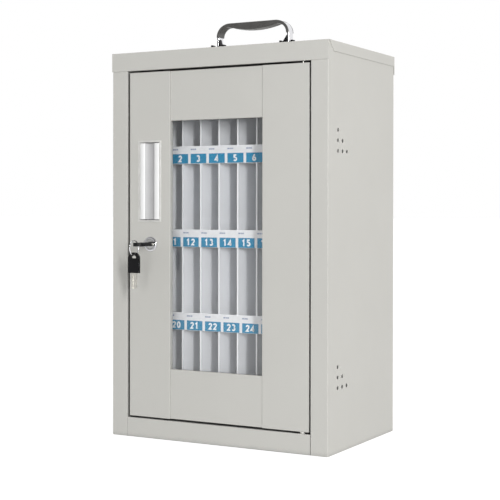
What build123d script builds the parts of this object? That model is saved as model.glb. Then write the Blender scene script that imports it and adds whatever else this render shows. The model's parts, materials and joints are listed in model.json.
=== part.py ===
from build123d import *
import os
from math import cos, radians, sin, sqrt

os.makedirs("parts", exist_ok=True)

# Table-top locker box for cell phones: a folded steel cabinet with a glazed door on the
# right-hand pivots, a cam lock, a flush pull, a folding carry handle and a rack of cells.
# Millimetres. Origin at the middle of the base, +X right, +Y to the back, +Z up.

# Cabinet
cabinet_width = 320.0  # over the cover's side flanges
cabinet_depth = 210.0  # over the cover's front and back flanges
cabinet_height = 510.0  # base to the top of the cover, handle apart
sheet = 0.8  # steel sheet of the cabinet and the door
stile_width = 24.3  # front stile, seen beside the door
stile_return = 12.0  # depth of the stile's fold into the cabinet, hinge side
stop_gap = 0.3  # between the shut door's rear and the door stop
stop_flange = 8.2  # reach of the door stop and lock keeper behind the door
rail_height = 25.3  # bottom rail in front
rail_return = 12.0  # depth of the folds of both rails
head_rail_height = 24.5  # the cover's front flange, which makes the top rail
cover_side_drop = 13.0  # height of the cover's side flanges
cover_corner_start = 3.0  # the side flange starts this far behind the front, at the top
cover_corner_run = 13.3  # and its front end slopes back this much to its lower edge
back_flange = 15.0  # width of the side panels' folds at the back
pan_upturn = 12.0  # height of the folded edges of the bottom pan
seat_gap = 0.1  # between folded sheets that are welded side by side
rail_seam = 0.4  # between the bottom rail and the stiles beside it

# Vents in the side panels
vent_diameter = 5.0
vent_rows = 3  # rows of 1, 2 and 3 holes
vent_pitch_y = 13.3
vent_pitch_z = 13.0
vent_from_front = 29.8  # first column behind the cabinet's front
vent_upper_from_top = 109.1  # top hole of the upper group below the cabinet's top
vent_lower_from_base = 81.0  # bottom row of the lower group above the base

# Door
door_side_gap = 2.8
door_end_gap = 2.5
door_recess = 2.2  # door's face behind the cabinet's front
door_depth = 12.5  # face to the rear edge of its folds
door_stile_width = 64.5  # mean of the two
window_offset = -1.2  # the window stands this far towards the lock side
door_fold = 8.0  # inward folds along the door's rear edges
upper_panel_height = 65.1
lower_panel_height = 65.0
panel_recess = 1.2  # the end panels' face behind the door stiles' face
window_rebate = 7.0  # door face to the pane's front
glazing_flange = 11.5  # width of the flange that the pane lies against
pane_lap = 7.6  # overlap of the pane behind the window's edge
pane_thickness = 2.0
bead_thickness = 1.2
bead_foot = 1.5
bead_gap = 0.2
bead_lap = 6.0  # how far the bead reaches over the pane

# Door pivots
pivot_diameter = 3.0
pivot_from_edge = 10.4  # door's hinge edge to the pivot axis
pivot_from_face = 4.5  # door's face to the pivot axis
pivot_rise = 6.0  # pin beyond the door's end fold
pivot_head_diameter = 6.0
pivot_head_height = 1.5
pivot_plate = 2.0  # stiffening plate inside each door end
pivot_plate_width = 18.0
bush_diameter = 8.0
bush_play = 0.3  # between the bush and the door
running_gap = 0.05  # radial, between a pin and its bore

# Flush pull
pull_width = 36.0
pull_height = 107.5
pull_lip = 2.5
pull_lip_height = 1.0  # the bezel stands this far off the door
pull_collar = 0.95
pull_collar_depth = 6.0
pull_above_lock = 82.7
trough_width = 14.6
trough_depth = 3.6
ridge_height = 1.0
trough_wall = 1.4
pull_gap = 0.1
pull_groove = 0.5  # groove between the bezel and the ridge beside it
pull_groove_depth = 1.2
pull_end_gap = 1.0  # slit at both ends of the trough

# Cam lock
lock_from_edge = 34.0
lock_above_middle = 1.0  # lock's axis above the middle of the door
lock_bezel_diameter = 19.6
lock_bezel_height = 3.0
lock_bezel_round = 1.4  # outer edge of the bezel
lock_bezel_inner_round = 0.7  # its edge round the plug
barrel_diameter = 16.0
plug_diameter = 12.0
plug_recess = 0.2  # plug's face behind the bezel's front
plug_square = 8.0
lock_nut_across = 21.0
lock_nut_height = 3.5
cam_thickness = 2.0
cam_width = 15.0
cam_hold = 6.0  # how far the cam reaches behind the door stop
cam_clear = 0.8  # between the door stop and the cam
cam_gap = 0.2  # between the barrel and the cam
cam_screw_diameter = 4.0
cam_screw_head = 8.0
cam_screw_head_height = 2.0
cam_screw_depth = 5.0

# Keys and ring
key_blade_width = 8.5
key_blade_thickness = 2.0
key_end_web = 1.2  # metal between the key's tip and the cam screw
key_blade_free = 7.2  # between the plug and the key's head
key_blade_in_head = 8.0
key_groove_width = 2.4
key_groove_depth = 0.5
key_notch = 1.1
key_head_width = 15.8
key_head_length = 26.6
key_head_thickness = 4.8
key_slot_web = 3.0  # plastic between the slot and the end of the head
key_slot_side = 0.3  # how much sooner the slot ends than its arch would
key_slot_taper = 0.7  # the slot narrows this much, each side, towards the blade
key_slot_peak = 0.4  # height of the peak in the slot's lower edge
key_notches = 3
key_notch_pitch = 2.6
key_gap = 0.1
ring_wire = 1.5
ring_radius = 9.8  # to the middle of the wire
ring_drop = 4.2  # ring's middle below the key's head
hang_gap = 0.4

# Carry handle
handle_span = 107.4  # between the middles of the legs
handle_rise = 44.0  # strap's top above the cover
strap_width = 13.0
strap_thickness = 3.0
strap_corner = 17.0  # outer bend of the strap
strap_round = 1.0
grip_crown = 1.0  # plastic over the top of the strap
grip_cover = 0.8  # plastic under the strap and inside its bends
grip_nose_turn = 34.0  # degrees round each bend at which the top cover ends
grip_width = 16.0
grip_belly = 5.3  # extra thickness in the middle, below
grip_flat = 1.2  # straight run between the bend and the belly
grip_round = 1.2
handle_pin_diameter = 4.0
handle_pin_height = 10.0  # above the cover
handle_pin_length = 18.0
bracket_width = 22.0
bracket_depth = 15.0
bracket_height = 17.0  # of the humps at both ends
bracket_slot_gap = 0.4  # each side of the leg
bracket_ear = 7.0  # inner ear above the humps
bracket_ear_tip = 0.8  # thickness of the ear's top
bracket_ear_depth = 4.0  # the ear's top, front to back
bracket_shoulder_height = 7.0  # where the ends start to slope
bracket_shoulder = 1.2  # run of that slope
bracket_hump = 2.4  # flat top of a hump
bracket_hump_depth = 7.0  # the same, front to back
bracket_lean = 3.0  # the tops of the humps and the ear stand this far to the front
bracket_slide_left = 0.26  # share of the room beside the leg by which the bracket is shifted
bracket_slide_right = 0.8  # to the lock side, left and right bracket
bracket_dip = 2.0  # run of the slope from a hump down to the cheek
bracket_cheek_rise = 4.0  # cheek above the pin's axis
bracket_corner_round = 3.0
handle_screw_diameter = 3.0
handle_screw_offset = 8.0
handle_screw_reach = 5.0
handle_screw_head = 6.0
handle_screw_head_height = 2.5

# Rack of cells
columns = 9
rows = 4
board = 2.0  # dividers, shelves, top and back
rack_side_gap = 8.7  # rack to the edge of the door opening
rack_setback = 35.0  # rack's front behind the cabinet's front
rack_back_gap = 2.6
rack_lift = 6.4  # rack's bottom above the bottom rail
rack_headroom = 36.3  # underside of the cover to the ceiling of the top cells
lap_gap = 0.1
lip_height = 23.0
lip_thickness = 1.5
label_thickness = 0.3
label_margin = 0.6
runner_width = 25.0
runner_foot = 10.0
runner_inset = 20.0

# Worked-out places
front = -cabinet_depth / 2
back = cabinet_depth / 2
body_half = cabinet_width / 2 - sheet  # outer face of the side panels
body_front = front + sheet
body_back = back - sheet
body_inner = body_half - sheet
cover_underside = cabinet_height - sheet
opening_half = cabinet_width / 2 - stile_width
opening_top = cabinet_height - head_rail_height
panel_inner = body_back - 2 * sheet  # inner face of the back panel

door_half = opening_half - door_side_gap
door_bottom = rail_height + door_end_gap
door_top = opening_top - door_end_gap
door_face = front + door_recess
door_rear = door_face + door_depth
window_half = door_half - door_stile_width
window_left = window_offset - window_half
window_right = window_offset + window_half
window_bottom = door_bottom + lower_panel_height
window_top = door_top - upper_panel_height
pane_front = door_face + window_rebate
pane_back = pane_front + pane_thickness
end_panel_face = door_face + panel_recess

pivot_x = door_half - pivot_from_edge
pivot_y = door_face + pivot_from_face

lock_x = -door_half + lock_from_edge
lock_z = (door_bottom + door_top) / 2 + lock_above_middle
pull_x = (window_left - door_half) / 2
pull_z = lock_z + pull_above_lock
lock_front = door_face - lock_bezel_height
stop_rear = door_rear + stop_gap + sheet
cam_front = stop_rear + cam_clear
cam_reach = lock_x + opening_half - stop_flange + cam_hold
barrel_depth = cam_front - cam_gap - door_face
plug_front = lock_front + plug_recess
plug_end = cam_front + cam_thickness
key_blade_in_lock = plug_end - cam_screw_depth - key_end_web - plug_front

leg_x = handle_span / 2
pivot_z = cabinet_height + handle_pin_height
strap_top = cabinet_height + handle_rise
strap_outer = leg_x + strap_thickness / 2
strap_inner = leg_x - strap_thickness / 2
leg_slot_half = strap_thickness / 2 + bracket_slot_gap
bracket_half = bracket_width / 2
hump_end = bracket_half - bracket_shoulder
hump_start = hump_end - bracket_hump
dip_end = hump_start - bracket_dip
bracket_room = dip_end - leg_slot_half
bracket_slides = {-1: bracket_room * bracket_slide_left, 1: bracket_room * bracket_slide_right}

rack_front = front + rack_setback
rack_rear = panel_inner - rack_back_gap
rack_bottom = rail_height + rack_lift
rack_ceiling = cover_underside - rack_headroom
rack_half = opening_half - rack_side_gap
row_pitch = (rack_ceiling - rack_bottom) / rows
cell_pitch = (2 * rack_half - board) / columns
lap_middle = (rack_front + rack_rear - board) / 2
shelf_heights = [rack_bottom + row_pitch * row for row in range(rows)]
divider_places = [-rack_half + board / 2 + cell_pitch * column for column in range(columns + 1)]


def save(piece, name):
    """Name a finished piece and write its STEP file."""
    piece.part.label = name
    export_step(piece.part, "parts/" + name + ".step")


def fold_outline(points, thickness=sheet):
    """Outline of a folded strip: the given line is one face, the sheet lies on its left."""
    with BuildLine(mode=Mode.PRIVATE) as outline:
        Polyline(*points)
        offset(amount=thickness, side=Side.LEFT, kind=Kind.ARC)
    return outline.line


def screw_places(side):
    """The two screws under one bracket of the carry handle."""
    middle = side * leg_x - bracket_slides[side]
    return [(middle + step, 0) for step in (-handle_screw_offset, handle_screw_offset)]


def mirrored(points):
    """The same fold on the other side of the cabinet, with the sheet still on the left."""
    return [(-x, y) for x, y in reversed(points)]


# Side panels
stile_inner = opening_half + sheet
hinge_side_fold = [
    (body_inner - back_flange, body_back - sheet),
    (body_inner, body_back - sheet),
    (body_inner, body_front + sheet),
    (stile_inner, body_front + sheet),
    (stile_inner, body_front + stile_return),
]
lock_side_fold = mirrored(
    hinge_side_fold[:-1] + [(stile_inner, stop_rear), (stile_inner - sheet - stop_flange, stop_rear)]
)
vent_first_y = front + vent_from_front
vent_tops = [
    cabinet_height - vent_upper_from_top,
    vent_lower_from_base + (vent_rows - 1) * vent_pitch_z,
]
vent_places = [
    (vent_first_y + column * vent_pitch_y, top - row * vent_pitch_z)
    for top in vent_tops
    for row in range(vent_rows)
    for column in range(row + 1)
]


def side_panel(fold_points, vent_plane):
    """Side sheet folded round the front and the back, with its two groups of vents."""
    with BuildPart() as panel:
        with BuildSketch():
            add(fold_outline(fold_points))
            make_face()
        extrude(amount=cover_underside)
        with BuildSketch(vent_plane):
            with Locations(*vent_places):
                Circle(vent_diameter / 2)
        extrude(amount=2 * sheet, both=True, mode=Mode.SUBTRACT)
    return panel


right_side_panel = side_panel(hinge_side_fold, Plane.YZ.offset(body_inner))
save(right_side_panel, "right_side_panel")
with BuildPart() as left_side_panel:
    add(side_panel(lock_side_fold, Plane.YZ.offset(-body_inner)).part)
    # the stop flange runs beside the door only, clear of the pan and of the cover
    for low, high in ((0, rail_height), (opening_top, cover_underside)):
        with BuildSketch(Plane.XY.offset(low)):
            with Locations((-opening_half, stop_rear)):
                Rectangle(stop_flange, 2 * sheet, align=(Align.MIN, Align.MAX))
        extrude(amount=high - low, mode=Mode.SUBTRACT)
save(left_side_panel, "left_side_panel")

# Back panel
with BuildPart() as back_panel:
    with BuildSketch(Plane.XZ.offset(-panel_inner)):
        with Locations((0, cover_underside / 2)):
            Rectangle(2 * (body_inner - seat_gap), cover_underside)
    extrude(amount=-sheet)
save(back_panel, "back_panel")

# Top cover
cover_fold = [
    (front + rail_return, opening_top + sheet),
    (front + sheet, opening_top + sheet),
    (front + sheet, cover_underside),
    (back - sheet, cover_underside),
    (back - sheet, opening_top),
]
cover_side_foot = cabinet_height - cover_side_drop
with BuildPart() as top_cover:
    with BuildSketch(Plane.YZ):
        add(fold_outline(cover_fold))
        make_face()
    extrude(amount=cabinet_width / 2, both=True)
    # the top rail's fold is as wide as the door opening, and the stiles stand beside it
    for side in (-1, 1):
        with BuildSketch(Plane.XY.offset(opening_top)):
            with Locations((side * (opening_half - seat_gap), front + sheet)):
                Rectangle(
                    stile_width + seat_gap, rail_return,
                    align=(Align.MIN if side > 0 else Align.MAX, Align.MIN),
                )
        extrude(amount=2 * sheet, mode=Mode.SUBTRACT)
    # side flanges, cut back at a slope at the front corners
    for side in (-1, 1):
        with BuildSketch(Plane.YZ.offset(side * body_half)):
            with BuildLine():
                Polyline(
                    (front + cover_corner_start, cabinet_height),
                    (front + cover_corner_start + cover_corner_run, cover_side_foot),
                    (back, cover_side_foot),
                    (back, cabinet_height),
                    close=True,
                )
            make_face()
        extrude(amount=side * sheet)
    with BuildSketch(Plane.XY.offset(cover_underside)):
        with Locations(*screw_places(-1), *screw_places(1)):
            Circle(handle_screw_diameter / 2 + seat_gap)
    extrude(amount=sheet, mode=Mode.SUBTRACT)
    with Locations((pivot_x, pivot_y, opening_top + sheet)):
        Hole(pivot_diameter / 2, depth=2 * sheet)
save(top_cover, "top_cover")

# Bottom pan with the bottom rail
pan_fold = [
    (panel_inner - sheet, pan_upturn),
    (panel_inner - sheet, sheet),
    (body_front + sheet, sheet),
    (body_front + sheet, rail_height - sheet),
    (body_front + rail_return, rail_height - sheet),
]
with BuildPart() as bottom_pan:
    with BuildSketch(Plane.YZ):
        add(fold_outline(pan_fold))
        make_face()
    extrude(amount=body_inner, both=True)
    # corners notched for the stiles and for the door stop
    notch_depth = stop_rear - body_front + seat_gap
    for side in (-1, 1):
        with BuildSketch():
            with Locations((side * (opening_half - rail_seam), body_front)):
                Rectangle(
                    stile_width, notch_depth,
                    align=(Align.MIN if side > 0 else Align.MAX, Align.MIN),
                )
        extrude(amount=rail_height, mode=Mode.SUBTRACT)
    for side in (-1, 1):
        with BuildSketch(Plane.YZ.offset(side * body_inner)):
            with Locations((body_front + notch_depth, 0)):
                Rectangle(
                    panel_inner - sheet - body_front - notch_depth, pan_upturn,
                    align=(Align.MIN, Align.MIN),
                )
        extrude(amount=-side * sheet)
    with Locations((pivot_x, pivot_y, rail_height)):
        Hole(pivot_diameter / 2, depth=2 * sheet)
save(bottom_pan, "bottom_pan")

# Door stiles
def stile_fold(edge):
    """Section of the right-hand door stile, with its window edge at this place."""
    return [
        (door_half - sheet - door_fold, door_rear - sheet),
        (door_half - sheet, door_rear - sheet),
        (door_half - sheet, door_face + sheet),
        (edge + sheet, door_face + sheet),
        (edge + sheet, pane_front - sheet),
        (edge + sheet + glazing_flange, pane_front - sheet),
    ]


def door_stile(fold_points, edge, side):
    """Folded door stile with a closed end at the top and the bottom."""
    with BuildPart() as stile:
        with BuildSketch(Plane.XY.offset(door_bottom)):
            add(fold_outline(fold_points))
            make_face()
        extrude(amount=door_top - door_bottom)
        for level, up in ((door_bottom, 1), (door_top, -1)):
            with BuildSketch(Plane.XY.offset(level)):
                with Locations(((edge + side * door_half) / 2, door_face + sheet)):
                    Rectangle(
                        door_half - side * edge - 2 * sheet, door_depth - sheet,
                        align=(Align.CENTER, Align.MIN),
                    )
            extrude(amount=up * sheet)
    return stile


with BuildPart() as door_stile_right:
    add(door_stile(stile_fold(window_right), window_right, 1).part)
    with Locations((pivot_x, pivot_y, door_bottom + sheet), (pivot_x, pivot_y, door_top)):
        Hole(pivot_diameter / 2 + running_gap, depth=2 * sheet)
save(door_stile_right, "door_stile_right")

collar_width = pull_width - 2 * pull_lip + 2 * pull_collar
collar_height = pull_height - 2 * pull_lip + 2 * pull_collar
with BuildPart() as door_stile_left:
    add(door_stile(mirrored(stile_fold(-window_left)), window_left, -1).part)
    with BuildSketch(Plane.XZ.offset(-door_face)):
        with Locations((pull_x, pull_z)):
            Rectangle(collar_width + 2 * pull_gap, collar_height + 2 * pull_gap)
        with Locations((lock_x, lock_z)):
            Circle(barrel_diameter / 2 + seat_gap)
    extrude(amount=-sheet, mode=Mode.SUBTRACT)
save(door_stile_left, "door_stile_left")

# Door end panels
upper_fold = [
    (pane_front - sheet, window_top + sheet + glazing_flange),
    (pane_front - sheet, window_top + sheet),
    (end_panel_face + sheet, window_top + sheet),
    (end_panel_face + sheet, door_top - sheet),
    (door_rear, door_top - sheet),
]
lower_fold = [
    (door_rear, door_bottom + sheet),
    (end_panel_face + sheet, door_bottom + sheet),
    (end_panel_face + sheet, window_bottom - sheet),
    (pane_front - sheet, window_bottom - sheet),
    (pane_front - sheet, window_bottom - sheet - glazing_flange),
]


def end_panel(fold_points, low, high):
    """Sheet between the two stiles, folded at its ends and welded to them at its sides."""
    half = window_half - seat_gap
    with BuildPart() as panel:
        with BuildSketch(Plane.YZ.offset(window_offset)):
            add(fold_outline(fold_points))
            make_face()
        extrude(amount=half, both=True)
        for side in (-1, 1):
            with BuildSketch(Plane.YZ.offset(window_offset + side * half)):
                with Locations((end_panel_face + sheet / 2, low)):
                    Rectangle(
                        pane_front - sheet - end_panel_face, high - low,
                        align=(Align.MIN, Align.MIN),
                    )
            extrude(amount=-side * sheet)
    return panel


door_panel_upper = end_panel(upper_fold, window_top + sheet, door_top - sheet)
save(door_panel_upper, "door_panel_upper")
door_panel_lower = end_panel(lower_fold, door_bottom + sheet, window_bottom - sheet)
save(door_panel_lower, "door_panel_lower")

# Window pane and its beads
pane_half = window_half + pane_lap
pane_bottom = window_bottom - pane_lap
pane_top = window_top + pane_lap
with BuildPart() as window_pane:
    with BuildSketch(Plane.XZ.offset(-pane_front)):
        with Locations((window_offset, (pane_bottom + pane_top) / 2)):
            Rectangle(2 * pane_half, pane_top - pane_bottom)
    extrude(amount=-pane_thickness)
save(window_pane, "window_pane")


def bead_outline(edge, inward):
    """L-section of a glazing bead. Edge is the pane's edge, inward the sense to its middle."""
    foot = edge - inward * bead_gap
    outer = foot - inward * bead_foot
    lap = edge + inward * bead_lap
    crown = pane_back + bead_thickness
    return [
        (lap, pane_back), (foot, pane_back), (foot, pane_front),
        (outer, pane_front), (outer, crown), (lap, crown),
    ]


bead_reach = bead_gap + bead_foot
with BuildPart() as glazing_beads:
    for side in (-1, 1):
        with BuildSketch(Plane.XY.offset(pane_bottom - bead_reach)):
            with BuildLine():
                Polyline(*bead_outline(window_offset + side * pane_half, -side), close=True)
            make_face()
        extrude(amount=pane_top - pane_bottom + 2 * bead_reach)
    for edge, inward in ((pane_bottom, 1), (pane_top, -1)):
        with BuildSketch(Plane.YZ.offset(window_offset)):
            with BuildLine():
                Polyline(*[(y, z) for z, y in bead_outline(edge, inward)], close=True)
            make_face()
        extrude(amount=pane_half - bead_lap - bead_gap, both=True)
save(glazing_beads, "glazing_beads")

# Door pivots
plate_depth = door_depth - 2 * sheet - 2 * seat_gap


def pivot_plate_at(level, up):
    """Stiffening plate inside the door's end, with the pivot's bore."""
    with BuildPart() as plate:
        with BuildSketch(Plane.XY.offset(level)):
            with Locations((pivot_x, door_face + sheet + seat_gap)):
                Rectangle(pivot_plate_width, plate_depth, align=(Align.CENTER, Align.MIN))
            with Locations((pivot_x, pivot_y)):
                Circle(pivot_diameter / 2 + running_gap, mode=Mode.SUBTRACT)
        extrude(amount=up * pivot_plate)
    return plate


def pivot_pin_at(head_level, tip_level, up):
    """Riveted pin: its head lies behind the rail's fold and its shank reaches the door."""
    with BuildPart() as pin:
        with BuildSketch(Plane.XY.offset(head_level)):
            with Locations((pivot_x, pivot_y)):
                Circle(pivot_diameter / 2)
        extrude(amount=tip_level - head_level)
        with BuildSketch(Plane.XY.offset(head_level)):
            with Locations((pivot_x, pivot_y)):
                Circle(pivot_head_diameter / 2)
        extrude(amount=-up * pivot_head_height)
        tip = pin.faces().sort_by(Axis.Z)[-1 if up > 0 else 0]
        chamfer(tip.edges(), pivot_diameter / 6)
    return pin


door_pivot_plate_lower = pivot_plate_at(door_bottom + sheet, 1)
save(door_pivot_plate_lower, "door_pivot_plate_lower")
door_pivot_plate_upper = pivot_plate_at(door_top - sheet, -1)
save(door_pivot_plate_upper, "door_pivot_plate_upper")
lower_pivot_pin = pivot_pin_at(rail_height - sheet, door_bottom + pivot_rise, 1)
save(lower_pivot_pin, "lower_pivot_pin")
upper_pivot_pin = pivot_pin_at(opening_top + sheet, door_top - pivot_rise, -1)
save(upper_pivot_pin, "upper_pivot_pin")

with BuildPart() as lower_pivot_bush:
    with BuildSketch(Plane.XY.offset(rail_height)):
        with Locations((pivot_x, pivot_y)):
            Circle(bush_diameter / 2)
            Circle(pivot_diameter / 2, mode=Mode.SUBTRACT)
    extrude(amount=door_end_gap - bush_play)
save(lower_pivot_bush, "lower_pivot_bush")

# Flush pull
mouth_width = pull_width - 2 * pull_lip
mouth_height = pull_height - 2 * pull_lip
with BuildPart() as pull_bezel:
    with BuildSketch(Plane.XZ.offset(-door_face)):
        with Locations((pull_x, pull_z)):
            RectangleRounded(pull_width, pull_height, pull_lip / 2)
            Rectangle(mouth_width, mouth_height, mode=Mode.SUBTRACT)
    extrude(amount=pull_lip_height)
    rim = pull_bezel.faces().sort_by(Axis.Y)[0]
    chamfer(rim.outer_wire().edges(), pull_lip_height / 2)
    with BuildSketch(Plane.XZ.offset(-door_face)):
        with Locations((pull_x, pull_z)):
            Rectangle(collar_width, collar_height)
            Rectangle(mouth_width, mouth_height, mode=Mode.SUBTRACT)
    extrude(amount=-pull_collar_depth)
save(pull_bezel, "pull_bezel")

insert_half = mouth_width / 2 - pull_gap
ridge_edge = mouth_width / 2 - pull_groove
trough_half = trough_width / 2
insert_face = door_face
groove_foot = insert_face + pull_groove_depth
insert_rear = insert_face + trough_depth + trough_wall
insert_length = mouth_height - 2 * pull_end_gap
ridge_half = (ridge_edge - trough_half) / 2
ridge_middle = trough_half + ridge_half
with BuildPart() as pull_channel:
    with BuildSketch(Plane.XY.offset(pull_z - insert_length / 2)):
        with BuildLine():
            for side in (-1, 1):
                ThreePointArc(
                    (pull_x + side * ridge_edge, insert_face),
                    (pull_x + side * ridge_middle, insert_face - ridge_height),
                    (pull_x + side * trough_half, insert_face),
                )
                Polyline(
                    (pull_x + side * ridge_edge, insert_face),
                    (pull_x + side * ridge_edge, groove_foot),
                    (pull_x + side * insert_half, groove_foot),
                    (pull_x + side * insert_half, insert_rear),
                )
            ThreePointArc(
                (pull_x - trough_half, insert_face),
                (pull_x, insert_face + trough_depth),
                (pull_x + trough_half, insert_face),
            )
            Line((pull_x - insert_half, insert_rear), (pull_x + insert_half, insert_rear))
        make_face()
    extrude(amount=insert_length)
    # the ridges are hollow behind
    core_width = 2 * ridge_half - 2 * trough_wall
    with BuildSketch(Plane.XZ.offset(-insert_rear)):
        core_middle = ridge_middle + trough_wall / 2
        with Locations((pull_x - core_middle, pull_z), (pull_x + core_middle, pull_z)):
            Rectangle(core_width - trough_wall, insert_length - 2 * trough_wall)
    extrude(amount=trough_depth, mode=Mode.SUBTRACT)
save(pull_channel, "pull_channel")

# Cam lock
lock_plane = Plane(origin=(lock_x, door_face, lock_z), x_dir=(1, 0, 0), z_dir=(0, 1, 0))
with BuildPart() as lock_housing:
    with BuildSketch(lock_plane):
        Circle(lock_bezel_diameter / 2)
    extrude(amount=-lock_bezel_height)
    fillet(lock_housing.faces().sort_by(Axis.Y)[0].edges(), lock_bezel_round)
    with BuildSketch(lock_plane):
        Circle(barrel_diameter / 2)
    extrude(amount=barrel_depth)
    with BuildSketch(lock_plane.offset(-lock_bezel_height)):
        Circle(plug_diameter / 2 + running_gap)
    extrude(amount=lock_bezel_height + barrel_depth, mode=Mode.SUBTRACT)
    mouth = lock_housing.faces().filter_by(Axis.Y).sort_by(Axis.Y)[0].inner_wires()
    fillet(mouth.edges(), lock_bezel_inner_round)
save(lock_housing, "lock_housing")

with BuildPart() as lock_nut:
    with BuildSketch(lock_plane.offset(sheet)):
        RegularPolygon(lock_nut_across / 2, 6, major_radius=False)
        Circle(barrel_diameter / 2, mode=Mode.SUBTRACT)
    extrude(amount=lock_nut_height)
save(lock_nut, "lock_nut")

with BuildPart() as lock_plug:
    with BuildSketch(lock_plane.offset(plug_recess - lock_bezel_height)):
        Circle(plug_diameter / 2)
    extrude(amount=lock_bezel_height - plug_recess + barrel_depth + cam_gap)
    with BuildSketch(lock_plane.offset(barrel_depth + cam_gap)):
        Rectangle(plug_square, plug_square)
    extrude(amount=cam_thickness)
    with BuildSketch(lock_plane.offset(plug_recess - lock_bezel_height)):
        Rectangle(key_blade_width + 2 * key_gap, key_blade_thickness + 2 * key_gap)
    extrude(amount=key_blade_in_lock + key_gap, mode=Mode.SUBTRACT)
    with BuildSketch(lock_plane.offset(barrel_depth + cam_gap + cam_thickness)):
        Circle(cam_screw_diameter / 2)
    extrude(amount=-cam_screw_depth, mode=Mode.SUBTRACT)
save(lock_plug, "lock_plug")

cam_plane = Plane(origin=(lock_x, cam_front, lock_z), x_dir=(1, 0, 0), z_dir=(0, 1, 0))
with BuildPart() as lock_cam:
    with BuildSketch(cam_plane):
        Circle(cam_width / 2)
        with Locations((0, cam_reach / 2)):
            Rectangle(cam_width, cam_reach)
        Rectangle(plug_square, plug_square, mode=Mode.SUBTRACT)
    extrude(amount=cam_thickness)
    tip = lock_cam.faces().sort_by(Axis.Z)[0]
    chamfer(tip.edges().filter_by(Axis.Y), cam_width / 6)
save(lock_cam, "lock_cam")

with BuildPart() as cam_screw:
    with BuildSketch(lock_plane.offset(barrel_depth + cam_gap + cam_thickness)):
        Circle(cam_screw_head / 2)
    extrude(amount=cam_screw_head_height)
    chamfer(cam_screw.faces().sort_by(Axis.Y)[-1].edges(), cam_screw_head_height / 3)
    with BuildSketch(lock_plane.offset(barrel_depth + cam_gap + cam_thickness)):
        Circle(cam_screw_diameter / 2)
    extrude(amount=-cam_screw_depth)
save(cam_screw, "cam_screw")

# Keys: local x across, local y from the end of the head to the tip
head_arch = key_head_width / 2
slot_arch = head_arch - key_slot_web
slot_half = slot_arch - key_slot_side
slot_rise = sqrt(slot_arch**2 - slot_half**2)
slot_foot_half = slot_half - key_slot_taper
slot_length = slot_arch - key_slot_peak


def key_head_on(bow):
    """Plastic head of a key, arched at its outer end, with a slot for the ring."""
    with BuildPart() as head:
        with BuildSketch(bow):
            with BuildLine():
                ThreePointArc((-head_arch, head_arch), (0, 0), (head_arch, head_arch))
                Polyline(
                    (head_arch, head_arch), (head_arch, key_head_length),
                    (-head_arch, key_head_length), (-head_arch, head_arch),
                )
            make_face()
            with BuildLine():
                ThreePointArc(
                    (-slot_half, head_arch - slot_rise),
                    (0, key_slot_web),
                    (slot_half, head_arch - slot_rise),
                )
                Polyline(
                    (slot_half, head_arch - slot_rise),
                    (slot_foot_half, head_arch),
                    (0, head_arch - key_slot_peak),
                    (-slot_foot_half, head_arch),
                    (-slot_half, head_arch - slot_rise),
                )
            make_face(mode=Mode.SUBTRACT)
        extrude(amount=key_head_thickness / 2, both=True)
        with BuildSketch(bow):
            with Locations((0, key_head_length)):
                Rectangle(key_blade_width, 2 * key_blade_in_head)
        extrude(amount=key_blade_thickness / 2, both=True, mode=Mode.SUBTRACT)
    return head


blade_start = key_head_length - key_blade_in_head
blade_end = key_head_length + key_blade_free + key_blade_in_lock


def key_blade_on(bow):
    """Metal blade: pointed tip, a groove along each face, and notches on one edge."""
    half = key_blade_width / 2
    with BuildPart() as blade:
        with BuildSketch(bow):
            with BuildLine():
                Polyline(
                    (-half, blade_start), (half, blade_start),
                    (half, blade_end - half / 2), (half / 3, blade_end),
                    (-half / 3, blade_end), (-half, blade_end - half / 2),
                    close=True,
                )
            make_face()
        extrude(amount=key_blade_thickness / 2, both=True)
        for face in (-1, 1):
            with BuildSketch(bow.offset(face * key_blade_thickness / 2)):
                with Locations((0, key_head_length + key_blade_free / 2)):
                    Rectangle(
                        key_groove_width, blade_end - key_head_length - key_blade_free / 2,
                        align=(Align.CENTER, Align.MIN),
                    )
            extrude(amount=-face * key_groove_depth, mode=Mode.SUBTRACT)
        with BuildSketch(bow):
            for notch in range(1, key_notches + 1):
                notch_y = key_head_length + key_blade_free + notch * key_notch_pitch
                with Locations((half, notch_y)):
                    Rectangle(2 * key_notch, 2 * key_notch, rotation=45)
        extrude(amount=key_blade_thickness, both=True, mode=Mode.SUBTRACT)
    return blade


key_bow_y = plug_front - key_blade_free - key_head_length
key_bow = Plane(origin=(lock_x, key_bow_y, lock_z), x_dir=(1, 0, 0), z_dir=(0, 0, 1))
key_head = key_head_on(key_bow)
save(key_head, "key_head")
key_blade = key_blade_on(key_bow)
save(key_blade, "key_blade")

slot_y = key_bow_y + key_slot_web + slot_length / 2
ring_reaches = [
    sqrt(ring_radius**2 - (ring_drop + face * key_head_thickness / 2) ** 2) for face in (-1, 1)
]
ring_y = slot_y - sum(ring_reaches) / 2
ring_z = lock_z - ring_drop
with BuildPart() as key_ring:
    with BuildSketch(Plane(origin=(lock_x, ring_y, ring_z), x_dir=(0, 1, 0), z_dir=(0, 0, 1))):
        with Locations((ring_radius, 0)):
            Circle(ring_wire / 2)
    revolve(axis=Axis((lock_x, ring_y, ring_z), (1, 0, 0)))
save(key_ring, "key_ring")

ring_seat_z = ring_z - ring_radius + ring_wire / 2
spare_bow = Plane(
    origin=(lock_x, ring_y, ring_seat_z + hang_gap + key_slot_web), x_dir=(1, 0, 0), z_dir=(0, 1, 0)
)
spare_key_head = key_head_on(spare_bow)
save(spare_key_head, "spare_key_head")
spare_key_blade = key_blade_on(spare_bow)
save(spare_key_blade, "spare_key_blade")

# Carry handle
corner_x = strap_outer - strap_corner
corner_z = strap_top - strap_corner


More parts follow.
